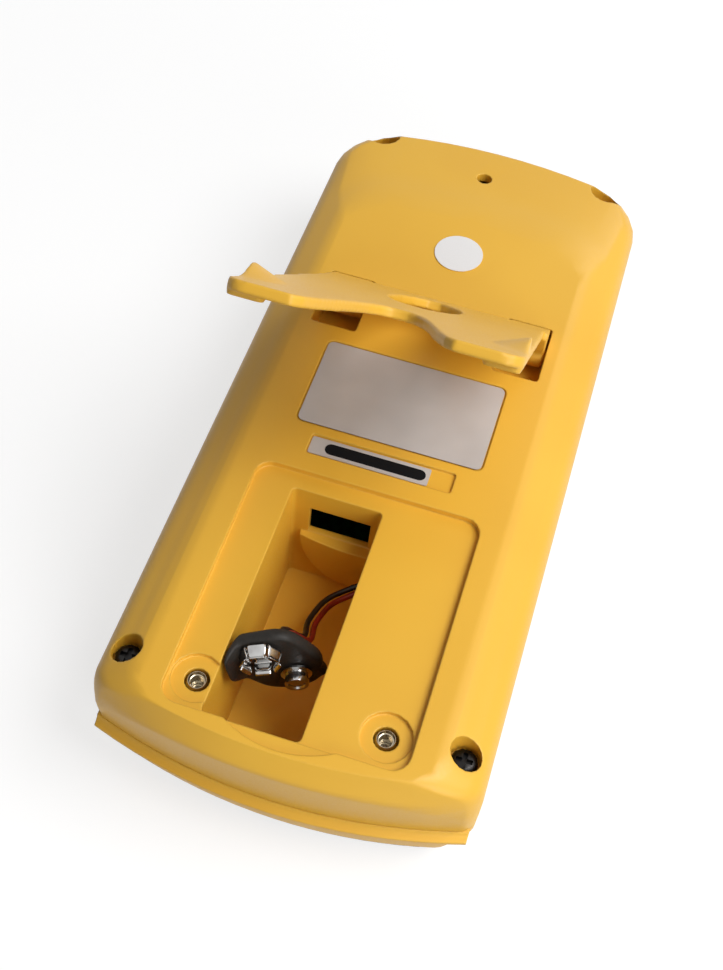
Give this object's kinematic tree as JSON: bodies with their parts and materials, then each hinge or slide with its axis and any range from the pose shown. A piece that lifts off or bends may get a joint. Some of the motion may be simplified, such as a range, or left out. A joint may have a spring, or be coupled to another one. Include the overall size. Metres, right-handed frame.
{
  "type": "digital multimeter",
  "caption": "Yellow hand-held digital multimeter lying on its face, with its tilt stand open and the battery compartment uncovered to show the snap connector.",
  "frame": {"origin": "middle of the bounding box, on the surface that the meter's face lies on", "axes": "+Z out of the meter's back, +Y along the meter towards its top end, +X to the right with the back towards the viewer"},
  "size_m": [0.0884, 0.2074, 0.1261],
  "materials": {
    "yellow_abs": "fine moulded grain, half matt",
    "dark_grey_plastic": "matt",
    "black_plastic": "black, half matt",
    "silver_label": "silver-grey film, blank",
    "white_label": "white paper, blank",
    "white_plastic": "white",
    "brass": "turned",
    "steel": "plain",
    "bright_nickel": "bright plated",
    "copper_alloy": "spring strip",
    "green_laminate": "solder resist",
    "clear_acrylic": "clear",
    "lcd_glass": "grey-green",
    "silicone": "soft strip",
    "black_vinyl": "soft vinyl",
    "red_vinyl": "soft vinyl",
    "ceramic": "fired white"
  },
  "bodies": {
    "case": {"board_screw_1": "steel", "board_screw_2": "steel", "board_screw_3": "steel", "board_screw_4": "steel", "case_screw_1": "black_plastic", "case_screw_2": "black_plastic", "case_screw_3": "black_plastic", "case_screw_4": "black_plastic", "current_shunt": "copper_alloy", "display_window": "clear_acrylic", "door_insert_1": "brass", "door_insert_2": "brass", "front_cover": "yellow_abs", "front_panel": "dark_grey_plastic", "lcd_frame": "white_plastic", "lcd_glass": "lcd_glass", "lead_black": "black_vinyl", "lead_red": "red_vinyl", "main_board": "green_laminate", "main_fuse_cap_1": "bright_nickel", "main_fuse_cap_2": "bright_nickel", "main_fuse_clip_1": "bright_nickel", "main_fuse_clip_2": "bright_nickel", "main_fuse_tube": "ceramic", "measuring_chip": "dark_grey_plastic", "rating_label": "silver_label", "rear_cover": "yellow_abs", "round_sticker": "white_label", "serial_label": "silver_label", "small_fuse_cap_1": "bright_nickel", "small_fuse_cap_2": "bright_nickel", "small_fuse_clip_1": "bright_nickel", "small_fuse_clip_2": "bright_nickel", "small_fuse_tube": "ceramic", "snap_cap": "black_vinyl", "snap_clip": "bright_nickel", "snap_stud": "bright_nickel", "socket_block": "black_plastic", "socket_contact_1": "brass", "socket_contact_2": "brass", "socket_contact_3": "brass", "socket_contact_4": "brass", "sounder": "black_plastic", "tact_switch_1": "black_plastic", "tact_switch_2": "black_plastic", "tact_switch_3": "black_plastic", "zebra_strip": "silicone"},
    "tilt_stand_body": {"tilt_stand": "yellow_abs"},
    "selector": {"selector_knob": "dark_grey_plastic", "wiper_disc": "white_plastic", "wiper_contact": "copper_alloy", "detent_ball_1": "steel", "detent_ball_2": "steel", "detent_spring_1": "steel", "detent_spring_2": "steel"},
    "button_hold_body": {"button_hold": "dark_grey_plastic"},
    "button_range_body": {"button_range": "dark_grey_plastic"},
    "button_light_body": {"button_light": "dark_grey_plastic"}
  },
  "joints": [
    {"name": "stand_hinge", "type": "hinge", "parent": "case", "child": "tilt_stand_body", "pos_m": [0, 0.0257, 0.0435], "axis": [1, 0, 0], "range_deg": [0, 44.3]},
    {"name": "selector_turn", "type": "hinge", "parent": "case", "child": "selector", "pos_m": [0, -0.017, 0.0062], "axis": [0, 0, 1], "range_deg": [-120, 120]},
    {"name": "hold_press", "type": "slide", "parent": "case", "child": "button_hold_body", "axis": [0, 0, 1], "range_m": [0, 0.0006], "stiffness_N_per_m": 600},
    {"name": "range_press", "type": "slide", "parent": "case", "child": "button_range_body", "axis": [0, 0, 1], "range_m": [0, 0.0006], "stiffness_N_per_m": 600},
    {"name": "light_press", "type": "slide", "parent": "case", "child": "button_light_body", "axis": [0, 0, 1], "range_m": [0, 0.0006], "stiffness_N_per_m": 600}
  ]
}
